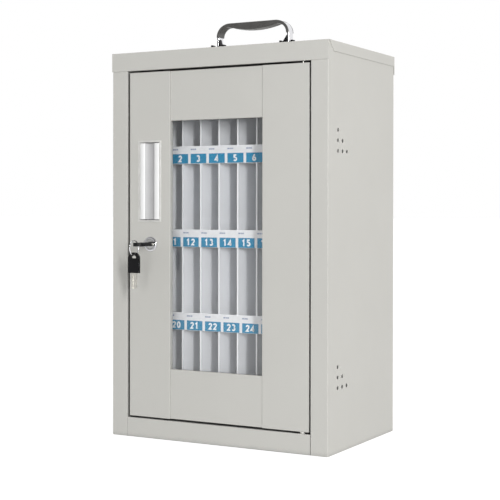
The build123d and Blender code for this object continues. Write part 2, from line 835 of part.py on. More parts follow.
def corner_point(side, radius, turn):
    """Point on one bend of the handle, this many degrees down from the bend's top."""
    angle = radians(turn)
    return (side * (corner_x + radius * sin(angle)), corner_z + radius * cos(angle))


def corner_arc(side, radius, start=0):
    """Arc round one bend of the handle, from this turn down to the leg."""
    ThreePointArc(
        corner_point(side, radius, start),
        corner_point(side, radius, (start + 90) / 2),
        corner_point(side, radius, 90),
    )


with BuildPart() as strap:
    with BuildSketch(Plane.XZ):
        with BuildLine():
            for radius in (strap_corner, strap_corner - strap_thickness):
                Line((-corner_x, corner_z + radius), (corner_x, corner_z + radius))
                for side in (-1, 1):
                    corner_arc(side, radius)
                    leg_face = side * (corner_x + radius)
                    Line((leg_face, corner_z), (leg_face, pivot_z))
            for side in (-1, 1):
                Line((side * strap_inner, pivot_z), (side * strap_outer, pivot_z))
        make_face()
    extrude(amount=strap_width / 2, both=True)
    for side in (-1, 1):
        with BuildSketch(Plane.YZ.offset(side * strap_inner)):
            with Locations((0, pivot_z)):
                Circle(strap_width / 2)
        extrude(amount=side * strap_thickness)

with BuildPart() as handle_frame:
    add(strap.part)
    rims = handle_frame.edges().filter_by(lambda edge: edge.length > 2 * strap_thickness)
    fillet(rims, strap_round)
    with BuildSketch(Plane.YZ):
        with Locations((0, pivot_z)):
            Circle(handle_pin_diameter / 2 + running_gap)
    extrude(amount=strap_outer + strap_thickness, both=True, mode=Mode.SUBTRACT)
save(handle_frame, "handle_frame")

grip_inner = strap_corner - strap_thickness - grip_cover
grip_under = corner_z + grip_inner
grip_top = strap_top + grip_crown
grip_belly_half = corner_x - grip_flat
nose_angle = radians(grip_nose_turn)
nose_shift = grip_crown / (1 - cos(nose_angle))
nose_x = corner_x - nose_shift * sin(nose_angle)
nose_z = corner_z - nose_shift * cos(nose_angle)


def nose_point(side, angle):
    """Point on the arc that brings the top cover down to the strap's bare bend."""
    radius = strap_corner + nose_shift
    return (side * (nose_x + radius * sin(angle)), nose_z + radius * cos(angle))


with BuildPart() as handle_grip:
    with BuildSketch(Plane.XZ):
        with BuildLine():
            Line((-nose_x, grip_top), (nose_x, grip_top))
            for side in (-1, 1):
                ThreePointArc(*[nose_point(side, nose_angle * share / 2) for share in range(3)])
                corner_arc(side, strap_corner, grip_nose_turn)
                Line(corner_point(side, strap_corner, 90), corner_point(side, grip_inner, 90))
                corner_arc(side, grip_inner)
                Line((side * corner_x, grip_under), (side * grip_belly_half, grip_under))
            ThreePointArc(
                (-grip_belly_half, grip_under),
                (0, grip_under - grip_belly),
                (grip_belly_half, grip_under),
            )
        make_face()
    extrude(amount=grip_width / 2, both=True)
    for end in (0, -1):
        rim = handle_grip.faces().filter_by(Plane.XZ).sort_by(Axis.Y)[end]
        fillet(rim.edges(), grip_round)
    add(strap.part, mode=Mode.SUBTRACT)
save(handle_grip, "handle_grip")

leg_slot_z = pivot_z - strap_width / 2 - bracket_slot_gap
shoulder_z = cabinet_height + bracket_shoulder_height
hump_top = cabinet_height + bracket_height
cheek_top = pivot_z + bracket_cheek_rise
ear_top = hump_top + bracket_ear


def handle_bracket_at(side):
    """Moulded bracket: two cheeks beside the leg, a hump at each end and a taller inner ear."""
    slide = side * bracket_slides[side]

    def place(across, height):
        return (side * (leg_x + across), height)

    def slid(across, height):
        return place(across - slide, height)

    with BuildPart() as bracket:
        with BuildSketch(Plane.XZ):
            with BuildLine():
                Polyline(
                    slid(-bracket_half, cabinet_height),
                    slid(bracket_half, cabinet_height),
                    slid(bracket_half, shoulder_z),
                    slid(hump_end, hump_top),
                    slid(hump_start, hump_top),
                    slid(dip_end, cheek_top),
                    place(leg_slot_half, cheek_top),
                    place(leg_slot_half, leg_slot_z),
                    place(-leg_slot_half, leg_slot_z),
                    place(-leg_slot_half, ear_top),
                    place(-leg_slot_half - bracket_ear_tip, ear_top),
                    slid(-dip_end, cheek_top),
                    slid(-hump_start, hump_top),
                    slid(-hump_end, hump_top),
                    slid(-bracket_half, shoulder_z),
                    close=True,
                )
            make_face()
        extrude(amount=bracket_depth / 2, both=True)
        ends = bracket.edges().filter_by(Axis.Z).group_by(Axis.X)
        fillet(ends[0] + ends[-1], bracket_corner_round)
        # the humps and the ear narrow towards their tops from the front and the back too
        flank = [
            (bracket_depth / 2, 0, cabinet_height),
            (bracket_depth / 2, 0, shoulder_z),
            (bracket_hump_depth / 2, bracket_lean, hump_top),
            (bracket_ear_depth / 2, bracket_lean, ear_top),
        ]
        with BuildSketch(Plane.YZ):
            with BuildLine():
                Polyline(
                    *[(half - lean, z) for half, lean, z in flank],
                    *[(-half - lean, z) for half, lean, z in reversed(flank)],
                    close=True,
                )
            make_face()
        extrude(amount=cabinet_width / 2, both=True, mode=Mode.INTERSECT)
        with BuildSketch(Plane.YZ.offset(side * leg_x)):
            with Locations((0, pivot_z)):
                Circle(handle_pin_diameter / 2)
        extrude(amount=handle_pin_length / 2, both=True, mode=Mode.SUBTRACT)
        with BuildSketch(Plane.XY.offset(cabinet_height)):
            with Locations(*screw_places(side)):
                Circle(handle_screw_diameter / 2)
        extrude(amount=handle_screw_reach, mode=Mode.SUBTRACT)
    return bracket


handle_bracket_left = handle_bracket_at(-1)
save(handle_bracket_left, "handle_bracket_left")
handle_bracket_right = handle_bracket_at(1)
save(handle_bracket_right, "handle_bracket_right")

with BuildPart() as handle_pins:
    for side in (-1, 1):
        with BuildSketch(Plane.YZ.offset(side * leg_x)):
            with Locations((0, pivot_z)):
                Circle(handle_pin_diameter / 2)
        extrude(amount=handle_pin_length / 2, both=True)
save(handle_pins, "handle_pins")

with BuildPart() as handle_screws:
    with BuildSketch(Plane.XY.offset(cover_underside)):
        with Locations(*screw_places(-1), *screw_places(1)):
            Circle(handle_screw_head / 2)
    extrude(amount=-handle_screw_head_height)
    heads = handle_screws.faces().group_by(Axis.Z)[0]
    chamfer(heads.edges(), handle_screw_head_height / 3)
    with BuildSketch(Plane.XY.offset(cover_underside)):
        with Locations(*screw_places(-1), *screw_places(1)):
            Circle(handle_screw_diameter / 2)
    extrude(amount=sheet + handle_screw_reach)
save(handle_screws, "handle_screws")

# Rack of cells
board_end = rack_rear - board
lapped_heights = shelf_heights[1:]
lapped_places = divider_places[1:-1]

for number, place_x in enumerate(divider_places, start=1):
    with BuildPart() as divider:
        with BuildSketch(Plane.YZ.offset(place_x)):
            with Locations((rack_front, rack_bottom + board)):
                Rectangle(
                    board_end - rack_front, rack_ceiling - rack_bottom - board,
                    align=(Align.MIN, Align.MIN),
                )
            if place_x in lapped_places:
                with Locations(*[(lap_middle - lap_gap, height - lap_gap) for height in lapped_heights]):
                    Rectangle(
                        board_end - lap_middle + lap_gap, board + 2 * lap_gap,
                        align=(Align.MIN, Align.MIN), mode=Mode.SUBTRACT,
                    )
        extrude(amount=board / 2, both=True)
    save(divider, "rack_divider_" + str(number))

inner_half = rack_half - board
for number, height in enumerate(reversed(shelf_heights), start=1):
    lapped = height in lapped_heights
    half = inner_half if lapped else rack_half
    with BuildPart() as shelf:
        with BuildSketch(Plane.XY.offset(height)):
            with Locations((0, rack_front)):
                Rectangle(2 * half, board_end - rack_front, align=(Align.CENTER, Align.MIN))
            if lapped:
                with Locations(*[(place_x, rack_front) for place_x in lapped_places]):
                    Rectangle(
                        board + 2 * lap_gap, lap_middle - rack_front,
                        align=(Align.CENTER, Align.MIN), mode=Mode.SUBTRACT,
                    )
        extrude(amount=board)
    save(shelf, "rack_shelf_" + str(number))

with BuildPart() as rack_top:
    with BuildSketch(Plane.XY.offset(rack_ceiling)):
        with Locations((0, rack_front)):
            Rectangle(2 * rack_half, board_end - rack_front, align=(Align.CENTER, Align.MIN))
    extrude(amount=board)
save(rack_top, "rack_top")

with BuildPart() as rack_back:
    with BuildSketch(Plane.XZ.offset(-board_end)):
        with Locations((0, (rack_bottom + rack_ceiling + board) / 2)):
            Rectangle(2 * rack_half, rack_ceiling + board - rack_bottom)
    extrude(amount=-board)
save(rack_back, "rack_back")

for number, height in enumerate(reversed(shelf_heights), start=1):
    with BuildPart() as lip:
        with BuildSketch(Plane.XZ.offset(-rack_front)):
            with Locations((0, height)):
                Rectangle(2 * rack_half, lip_height, align=(Align.CENTER, Align.MIN))
        extrude(amount=lip_thickness)
    save(lip, "shelf_lip_" + str(number))

with BuildPart() as label_strips:
    for height in shelf_heights:
        with BuildSketch(Plane.XZ.offset(-rack_front + lip_thickness)):
            with Locations((0, height + lip_height / 2)):
                Rectangle(2 * (rack_half - label_margin), lip_height - 2 * label_margin)
        extrude(amount=label_thickness)
save(label_strips, "label_strips")

# Runners that lift the rack to the door's sill
runner_start = rack_front + runner_inset
runner_length = board_end - runner_inset - runner_start


def rack_runner_at(side):
    """Folded hat-section runner on the cabinet's floor."""
    middle = side * (rack_half - runner_inset)
    half = runner_width / 2 - sheet
    with BuildPart() as runner:
        with BuildSketch(Plane.XZ.offset(-runner_start)):
            with BuildLine():
                add(fold_outline([
                    (middle - half - sheet - runner_foot, sheet),
                    (middle - half, sheet),
                    (middle - half, rack_bottom - sheet),
                    (middle + half, rack_bottom - sheet),
                    (middle + half, sheet),
                    (middle + half + sheet + runner_foot, sheet),
                ]))
            make_face()
        extrude(amount=-runner_length)
    return runner


rack_runner_left = rack_runner_at(-1)
save(rack_runner_left, "rack_runner_left")
rack_runner_right = rack_runner_at(1)
save(rack_runner_right, "rack_runner_right")
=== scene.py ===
import json
import math

import bmesh
import bpy
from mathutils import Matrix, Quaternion, Vector


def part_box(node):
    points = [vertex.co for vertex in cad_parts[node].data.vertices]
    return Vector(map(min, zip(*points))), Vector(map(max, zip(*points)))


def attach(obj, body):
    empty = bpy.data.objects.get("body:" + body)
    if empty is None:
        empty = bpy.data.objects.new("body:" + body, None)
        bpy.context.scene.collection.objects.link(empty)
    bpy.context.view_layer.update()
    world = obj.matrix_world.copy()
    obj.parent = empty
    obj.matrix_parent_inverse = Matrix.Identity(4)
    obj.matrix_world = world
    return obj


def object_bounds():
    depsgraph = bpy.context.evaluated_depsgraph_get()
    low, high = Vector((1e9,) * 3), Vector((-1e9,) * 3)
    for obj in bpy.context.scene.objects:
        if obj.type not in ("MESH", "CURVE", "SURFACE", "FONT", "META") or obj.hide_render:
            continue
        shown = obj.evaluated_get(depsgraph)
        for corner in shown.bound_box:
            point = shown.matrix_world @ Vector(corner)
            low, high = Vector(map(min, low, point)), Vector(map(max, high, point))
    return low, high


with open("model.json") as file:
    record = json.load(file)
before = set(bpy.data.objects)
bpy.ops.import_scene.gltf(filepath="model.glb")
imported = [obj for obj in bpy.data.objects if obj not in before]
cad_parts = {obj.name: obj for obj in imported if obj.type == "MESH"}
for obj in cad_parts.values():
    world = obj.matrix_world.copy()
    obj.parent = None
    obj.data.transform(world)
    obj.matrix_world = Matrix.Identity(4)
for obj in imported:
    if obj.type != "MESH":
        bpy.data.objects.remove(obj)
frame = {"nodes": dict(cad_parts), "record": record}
cadLow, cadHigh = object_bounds()
nodes = frame["nodes"]
mm = 0.001


# node tools: every texture is placed in the part's own metres

def makeNode(tree, kind, inputs=None, **settings):
    node = tree.nodes.new(kind)
    for key, value in settings.items():
        setattr(node, key, value)
    for key, value in (inputs or {}).items():
        if hasattr(value, "is_output"):
            tree.links.new(value, node.inputs[key])
        else:
            node.inputs[key].default_value = value
    return node


def mathNode(tree, operation, first, second=0.5, third=None):
    inputs = {0: first, 1: second}
    if third is not None:
        inputs[2] = third
    return makeNode(tree, "ShaderNodeMath", inputs, operation=operation).outputs[0]


def rangeNode(tree, value, fromLow, fromHigh, toLow, toHigh):
    inputs = {"Value": value, "From Min": fromLow, "From Max": fromHigh, "To Min": toLow, "To Max": toHigh}
    return makeNode(tree, "ShaderNodeMapRange", inputs).outputs["Result"]


def noiseNode(tree, vector, scale, detail=2.0, roughness=0.5):
    inputs = {"Vector": vector, "Scale": scale, "Detail": detail, "Roughness": roughness}
    return makeNode(tree, "ShaderNodeTexNoise", inputs).outputs["Fac"]


def mixColors(tree, factor, first, second, blend="MIX"):
    inputs = {"Factor": factor, "A": first, "B": second}
    node = makeNode(tree, "ShaderNodeMix", None, data_type="RGBA", blend_type=blend)
    for key, value in inputs.items():
        socket = [s for s in node.inputs if s.name == key and s.enabled][0]
        if hasattr(value, "is_output"):
            tree.links.new(value, socket)
        else:
            socket.default_value = value
    return [s for s in node.outputs if s.enabled][0]


def partPlace(tree):
    return makeNode(tree, "ShaderNodeTexCoord").outputs["Object"]


noiseLow, noiseHigh = 0.3, 0.7  # nearly all of a noise's values lie between these


def swingNode(tree, noise, reach=1.0):
    return rangeNode(tree, noise, noiseLow, noiseHigh, -reach, reach)


# noise scale for marks of this size
def scaleNode(tree, size):
    return mathNode(tree, "DIVIDE", 1.0, size)


def productNode(tree, first, *others):
    product = first
    for other in others:
        product = mathNode(tree, "MULTIPLY", product, other)
    return product


def startGroup(name, inputs, outputs):
    group = bpy.data.node_groups.new(name, "ShaderNodeTree")
    for label, kind, value in inputs:
        socket = group.interface.new_socket(name=label, in_out="INPUT", socket_type="NodeSocket" + kind)
        socket.default_value = value
    for label, kind in outputs:
        group.interface.new_socket(name=label, in_out="OUTPUT", socket_type="NodeSocket" + kind)
    enter = group.nodes.new("NodeGroupInput").outputs
    leave = group.nodes.new("NodeGroupOutput").inputs
    return group, enter, leave


# slow change of tone over a surface, broad clouds with finer ones inside
def makeToneDrift():
    group, enter, leave = startGroup(
        "tone drift",
        [("Color", "Color", (0.5, 0.5, 0.5, 1)), ("Strength", "Float", 0.03), ("Size", "Float", 0.1)],
        [("Color", "Color")],
    )
    scale = scaleNode(group, enter["Size"])
    clouds = noiseNode(group, partPlace(group), scale, 4.0, 0.6)
    swing = swingNode(group, clouds)
    value = mathNode(group, "MULTIPLY_ADD", swing, enter["Strength"], 1.0)
    drifted = makeNode(group, "ShaderNodeHueSaturation", {"Color": enter["Color"], "Value": value})
    group.links.new(drifted.outputs["Color"], leave["Color"])
    return group


# powder coat: soft orange peel with fine specks in it
def makePowderSkin():
    group, enter, leave = startGroup(
        "powder skin",
        [("Peel Size", "Float", 0.0016), ("Speck Size", "Float", 0.0004), ("Gloss", "Float", 0.42)],
        [("Height", "Float"), ("Roughness", "Float")],
    )
    place = partPlace(group)
    peel = noiseNode(group, place, scaleNode(group, enter["Peel Size"]), 2.0, 0.4)
    specks = noiseNode(group, place, scaleNode(group, enter["Speck Size"]), 1.0, 0.3)
    height = mathNode(group, "MULTIPLY_ADD", specks, 0.25, peel)
    wander = swingNode(group, noiseNode(group, place, 14.0, 3.0), 0.05)
    group.links.new(height, leave["Height"])
    group.links.new(mathNode(group, "ADD", wander, enter["Gloss"]), leave["Roughness"])
    return group


# rubbed edges with a painted highlight: a mask where a rounded copy of the surface turns away from the real
# one; the lighter colour mixed in there is partly wear and partly painted highlight
def makeEdgeWearAndHighlight():
    group, enter, leave = startGroup(
        "edge wear and highlight",
        [("Reach", "Float", 0.0012), ("Strength", "Float", 0.5)],
        [("Mask", "Float")],
    )
    rounded = makeNode(group, "ShaderNodeBevel", {"Radius": enter["Reach"]}, samples=4).outputs["Normal"]
    normal = makeNode(group, "ShaderNodeNewGeometry").outputs["Normal"]
    facing = makeNode(group, "ShaderNodeVectorMath", {0: rounded, 1: normal}, operation="DOT_PRODUCT")
    turned = rangeNode(group, facing.outputs["Value"], 0.98, 0.72, 0.0, 1.0)
    broken = rangeNode(group, noiseNode(group, partPlace(group), 260.0, 4.0, 0.7), 0.35, 0.65, 0.35, 1.0)
    group.links.new(productNode(group, turned, broken, enter["Strength"]), leave["Mask"])
    return group


# a little dust on what faces up
def makeSettledDust():
    group, enter, leave = startGroup(
        "settled dust",
        [
            ("Color", "Color", (0.5, 0.5, 0.5, 1)),
            ("Dust", "Color", (0.6, 0.58, 0.54, 1)),
            ("Amount", "Float", 0.2),
        ],
        [("Color", "Color")],
    )
    normal = makeNode(group, "ShaderNodeNewGeometry").outputs["Normal"]
    up = makeNode(group, "ShaderNodeSeparateXYZ", {"Vector": normal}).outputs["Z"]
    lying = rangeNode(group, up, 0.5, 0.95, 0.0, 1.0)
    patchy = rangeNode(group, noiseNode(group, partPlace(group), 45.0, 6.0, 0.65), 0.35, 0.7, 0.2, 1.0)
    mask = productNode(group, lying, patchy, enter["Amount"])
    group.links.new(mixColors(group, mask, enter["Color"], enter["Dust"]), leave["Color"])
    return group


# painted shade in a narrow joint or a crevice: the colour is darkened where little sky reaches within the
# given distance
def makePaintedJointShade():
    group, enter, leave = startGroup(
        "painted joint shade",
        [
            ("Color", "Color", (0.5, 0.5, 0.5, 1)),
            ("Shade", "Color", (0.05, 0.05, 0.05, 1)),
            ("Reach", "Float", 0.008),
            ("Strength", "Float", 0.9),
        ],
        [("Color", "Color")],
    )
    around = makeNode(group, "ShaderNodeAmbientOcclusion", {"Distance": enter["Reach"]}, samples=4)
    hollow = around.outputs["AO"]
    deep = rangeNode(group, hollow, 0.42, 0.2, 0.0, 1.0)
    patches = noiseNode(group, partPlace(group), 120.0, 3.0)
    patchy = rangeNode(group, patches, noiseLow, noiseHigh, 0.85, 1.0)
    mask = productNode(group, deep, patchy, enter["Strength"])
    group.links.new(mixColors(group, mask, enter["Color"], enter["Shade"]), leave["Color"])
    return group


# moulded plastic: eroded tool texture and a slow wander of the gloss
def makeMouldSkin():
    group, enter, leave = startGroup(
        "mould skin",
        [("Grain Size", "Float", 0.0005), ("Gloss", "Float", 0.4), ("Wander", "Float", 0.06)],
        [("Height", "Float"), ("Roughness", "Float")],
    )
    place = partPlace(group)
    scale = scaleNode(group, enter["Grain Size"])
    inputs = {"Vector": place, "Scale": scale}
    cells = makeNode(group, "ShaderNodeTexVoronoi", inputs, feature="SMOOTH_F1")
    fine = noiseNode(group, place, mathNode(group, "MULTIPLY", scale, 2.3), 2.0)
    height = mathNode(group, "MULTIPLY_ADD", fine, 0.4, cells.outputs["Distance"])
    swing = swingNode(group, noiseNode(group, place, 70.0, 4.0))
    gloss = mathNode(group, "MULTIPLY_ADD", swing, enter["Wander"], enter["Gloss"])
    group.links.new(height, leave["Height"])
    group.links.new(gloss, leave["Roughness"])
    return group


# drawn or brushed metal: long fine lines along one direction
def makeBrushedLines():
    group, enter, leave = startGroup(
        "brushed lines",
        [
            ("Stretch", "Vector", (1, 1, 1)),
            ("Line Size", "Float", 0.0003),
            ("Gloss", "Float", 0.25),
            ("Wander", "Float", 0.08),
        ],
        [("Height", "Float"), ("Roughness", "Float")],
    )
    inputs = {0: partPlace(group), 1: enter["Stretch"]}
    place = makeNode(group, "ShaderNodeVectorMath", inputs, operation="MULTIPLY").outputs[0]
    lines = noiseNode(group, place, scaleNode(group, enter["Line Size"]), 3.0, 0.6)
    gloss = mathNode(group, "MULTIPLY_ADD", swingNode(group, lines), enter["Wander"], enter["Gloss"])
    group.links.new(lines, leave["Height"])
    group.links.new(gloss, leave["Roughness"])
    return group


# fingerprints and wiping on gloss: curved streaks that dull it
def makeHandling():
    group, enter, leave = startGroup(
        "handling",
        [("Roughness", "Float", 0.2), ("Strength", "Float", 0.15), ("Size", "Float", 0.02)],
        [("Roughness", "Float")],
    )
    scale = scaleNode(group, enter["Size"])
    inputs = {"Vector": partPlace(group), "Scale": scale, "Detail": 5.0, "Distortion": 1.2}
    bent = makeNode(group, "ShaderNodeTexNoise", inputs).outputs["Fac"]
    streaks = rangeNode(group, bent, 0.48, 0.68, 0.0, 1.0)
    dulled = mathNode(group, "MULTIPLY_ADD", streaks, enter["Strength"], enter["Roughness"])
    group.links.new(dulled, leave["Roughness"])
    return group


toneDrift = makeToneDrift()
powderSkin = makePowderSkin()
edgeWearAndHighlight = makeEdgeWearAndHighlight()
settledDust = makeSettledDust()
paintedJointShade = makePaintedJointShade()
mouldSkin = makeMouldSkin()
brushedLines = makeBrushedLines()
handling = makeHandling()
print("shader groups:", len(bpy.data.node_groups))


def useGroup(tree, group, **values):
    node = tree.nodes.new("ShaderNodeGroup")
    node.node_tree = group
    for key, value in values.items():
        name = "".join(" " + c if c.isupper() else c for c in key).strip().title()
        if hasattr(value, "is_output"):
            tree.links.new(value, node.inputs[name])
        else:
            node.inputs[name].default_value = value
    return node.outputs


def startMaterial(name):
    material = bpy.data.materials.new(name)
    material.use_nodes = True
    tree = material.node_tree
    shader = tree.nodes["Principled BSDF"]
    return material, tree, shader


def finishMaterial(tree, shader, color, roughness, height, depth):
    tree.links.new(color, shader.inputs["Base Color"])
    tree.links.new(roughness, shader.inputs["Roughness"])
    bump = makeNode(tree, "ShaderNodeBump", {"Height": height, "Distance": depth, "Strength": 1.0})
    tree.links.new(bump.outputs["Normal"], shader.inputs["Normal"])


# darkens the colour with painted shade in joints and crevices
def paintJointShade(tree, color, look):
    return useGroup(tree, paintedJointShade, color=color, shade=look["shade"], reach=look["shadeReach"])["Color"]


# light warm grey powder coat on the sheet metal
cabinetPaint = {
    "color": (0.577, 0.571, 0.539, 1), "drift": 0.018, "driftSize": 0.16, "mirror": 0.35, "gloss": 0.40,
    # rubbed: lighter edge colour, partly worn powder coat and partly painted highlight
    "rubbedHighlight": (0.72, 0.71, 0.68, 1), "rub": 0.35, "edgeReach": 1.0 * mm,
    "dust": (0.60, 0.58, 0.54, 1), "dusting": 0.25, "peelSize": 1.8 * mm, "peelDepth": 0.012 * mm,
    # shade: painted shade, a darker colour in the gaps and joints between the sheets
    "shade": (0.02, 0.02, 0.02, 1), "shadeReach": 12 * mm,
}


def makeCabinetPaint(look):
    material, tree, shader = startMaterial("cabinetPaint")
    shader.inputs["Specular IOR Level"].default_value = look["mirror"]
    drift = useGroup(tree, toneDrift, color=look["color"], strength=look["drift"], size=look["driftSize"])
    # lighter edges, partly wear and partly painted highlight
    rub = useGroup(tree, edgeWearAndHighlight, reach=look["edgeReach"], strength=look["rub"])
    edged = mixColors(tree, rub["Mask"], drift["Color"], look["rubbedHighlight"])
    dusty = useGroup(tree, settledDust, color=edged, dust=look["dust"], amount=look["dusting"])
    skin = useGroup(tree, powderSkin, peelSize=look["peelSize"], gloss=look["gloss"])
    # painted shade in the joints and gaps
    color = paintJointShade(tree, dusty["Color"], look)
    finishMaterial(tree, shader, color, skin["Roughness"], skin["Height"], look["peelDepth"])
    return material


# white sheet plastic of the rack, satin, with saw-cut edges; their lighter colour is partly the cut and
# partly a painted highlight
rackPlastic = {
    "color": (0.90, 0.915, 0.94, 1), "drift": 0.02, "driftSize": 0.05, "gloss": 0.38, "wander": 0.05,
    # edge: lighter edge colour, partly the cut edge and partly painted highlight
    "edge": (0.93, 0.94, 0.96, 1), "rub": 0.4, "edgeReach": 0.6 * mm, "dusting": 0.12,
    # shade: painted shade in crevices and where the rack stands close to the cabinet
    "grain": 0.8 * mm, "grainDepth": 0.004 * mm, "shade": (0.03, 0.03, 0.03, 1), "shadeReach": 16 * mm,
}


def makeRackPlastic(look):
    material, tree, shader = startMaterial("rackPlastic")
    drift = useGroup(tree, toneDrift, color=look["color"], strength=look["drift"], size=look["driftSize"])
    # lighter edges, partly the cut and partly painted highlight
    rub = useGroup(tree, edgeWearAndHighlight, reach=look["edgeReach"], strength=look["rub"])
    edged = mixColors(tree, rub["Mask"], drift["Color"], look["edge"])
    dusty = useGroup(tree, settledDust, color=edged, amount=look["dusting"])
    skin = useGroup(tree, mouldSkin, grainSize=look["grain"], gloss=look["gloss"], wander=look["wander"])
    # painted shade in crevices and close gaps
    color = paintJointShade(tree, dusty["Color"], look)
    finishMaterial(tree, shader, color, skin["Roughness"], skin["Height"], look["grainDepth"])
    return material


# white label film, and the blue, white and grey printing on it
labelFilm = {
    "paper": {"color": (0.80, 0.81, 0.83, 1), "gloss": 0.32},
    "blue": {"color": (0.0015, 0.225, 0.42, 1), "gloss": 0.30},
    "ink": {"color": (0.87, 0.89, 0.90, 1), "gloss": 0.30},
    "grey": {"color": (0.30, 0.35, 0.48, 1), "gloss": 0.34},
    "drift": 0.05, "driftSize": 0.006, "marks": 0.12, "marksSize": 0.015, "mirror": 0.2,
    "weave": 5200.0, "weaveDepth": 0.003 * mm,
}


def makePrint(name, film, tone):
    material, tree, shader = startMaterial(name)
    shader.inputs["Specular IOR Level"].default_value = film["mirror"]
    drift = useGroup(tree, toneDrift, color=tone["color"], strength=film["drift"], size=film["driftSize"])
    marks = useGroup(tree, handling, roughness=tone["gloss"], strength=film["marks"], size=film["marksSize"])
    weave = noiseNode(tree, partPlace(tree), film["weave"], 1.0)
    finishMaterial(tree, shader, drift["Color"], marks["Roughness"], weave, film["weaveDepth"])
    return material


# clear pane: light passes straight through it to the rack
clearPane = {
    "color": (1, 1, 1, 1), "roughness": 0.03, "ior": 1.49, "mirror": 0.10, "marks": 0.05, "marksSize": 0.035,
}


def makeClearPane(look):
    material, tree, shader = startMaterial("clearPane")
    marks = useGroup(
        tree, handling, roughness=look["roughness"], strength=look["marks"], size=look["marksSize"]
    )
    shader.inputs["Base Color"].default_value = look["color"]
    shader.inputs["Transmission Weight"].default_value = 1.0
    shader.inputs["IOR"].default_value = look["ior"]
    shader.inputs["Specular IOR Level"].default_value = look["mirror"]
    tree.links.new(marks["Roughness"], shader.inputs["Roughness"])
    path = makeNode(tree, "ShaderNodeLightPath").outputs
    passing = mathNode(tree, "MAXIMUM", path["Is Shadow Ray"], path["Is Diffuse Ray"])
    clear = makeNode(tree, "ShaderNodeBsdfTransparent", {"Color": look["color"]})
    both = makeNode(tree, "ShaderNodeMixShader", {0: passing, 1: shader.outputs[0], 2: clear.outputs[0]})
    tree.links.new(both.outputs[0], tree.nodes["Material Output"].inputs["Surface"])
    return material


# metals: the brushed ones have lines along the axis that their stretch shortens
chromePlate = {
    "color": (0.78, 0.78, 0.80, 1), "drift": 0.03, "gloss": 0.07,
    # shade: painted shade where the plating meets the door and other parts
    "shade": (0.03, 0.03, 0.03, 1), "shadeReach": 2.5 * mm,
}
zincSteel = {"color": (0.60, 0.59, 0.56, 1), "drift": 0.06, "gloss": 0.30, "stretch": (1, 1, 0.08)}
nickelKey = {"color": (0.82, 0.80, 0.74, 1), "drift": 0.05, "gloss": 0.26, "stretch": (1, 1, 0.06)}
lockNickel = {"color": (0.84, 0.84, 0.83, 1), "drift": 0.05, "gloss": 0.16, "stretch": (1, 0.1, 1)}
metalMarks = {
    "driftSize": 0.012, "marks": 0.12, "marksSize": 0.01, "lineSize": 0.25 * mm, "lineDepth": 0.006 * mm,
    "grain": 900.0, "grainDepth": 0.002 * mm,
}


def makeMetal(name, look, wear):
    material, tree, shader = startMaterial(name)
    shader.inputs["Metallic"].default_value = 1.0
    drift = useGroup(tree, toneDrift, color=look["color"], strength=look["drift"], size=wear["driftSize"])
    if "stretch" in look:
        lines = useGroup(
            tree, brushedLines, stretch=look["stretch"], lineSize=wear["lineSize"], gloss=look["gloss"]
        )
        rough, height, depth = lines["Roughness"], lines["Height"], wear["lineDepth"]
    else:
        grain = noiseNode(tree, partPlace(tree), wear["grain"], 3.0)
        rough, height, depth = look["gloss"], grain, wear["grainDepth"]
    marks = useGroup(tree, handling, roughness=rough, strength=wear["marks"], size=wear["marksSize"])
    color = drift["Color"]
    # painted shade where the metal meets other parts
    if "shade" in look:
        color = paintJointShade(tree, color, look)
    finishMaterial(tree, shader, color, marks["Roughness"], height, depth)
    return material


# insert of the pull: glossy ridges beside a satin trough; the ridges' white is a painted highlight and the
# trough's grey is painted shade, on what is one plated finish
pullInsert = {
    # ridge: painted highlight colour; trough: painted shade colour
    "ridge": (0.90, 0.90, 0.90, 1), "trough": (0.50, 0.50, 0.505, 1), "drift": 0.025, "driftSize": 0.02,
    "ridgeGloss": 0.20, "troughGloss": 0.40, "wander": 0.04, "troughHalf": 7.3 * mm, "blend": 0.25 * mm,
    "stretch": (1, 1, 0.03), "lineSize": 0.35 * mm, "lineDepth": 0.004 * mm,
}


def makePullInsert(look):
    material, tree, shader = startMaterial("pullInsert")
    low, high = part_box("pull_channel")
    across = makeNode(tree, "ShaderNodeSeparateXYZ", {"Vector": partPlace(tree)}).outputs["X"]
    off = mathNode(tree, "ABSOLUTE", mathNode(tree, "SUBTRACT", across, (low.x + high.x) / 2))
    start, end = look["troughHalf"] - look["blend"], look["troughHalf"] + look["blend"]
    # ridges get the painted highlight colour, the trough the painted shade colour
    onRidge = rangeNode(tree, off, start, end, 0.0, 1.0)
    tone = mixColors(tree, onRidge, look["trough"], look["ridge"])
    drift = useGroup(tree, toneDrift, color=tone, strength=look["drift"], size=look["driftSize"])
    gloss = rangeNode(tree, onRidge, 0.0, 1.0, look["troughGloss"], look["ridgeGloss"])
    lines = useGroup(
        tree, brushedLines, stretch=look["stretch"], lineSize=look["lineSize"], gloss=gloss,
        wander=look["wander"],
    )
    finishMaterial(tree, shader, drift["Color"], lines["Roughness"], lines["Height"], look["lineDepth"])
    return material


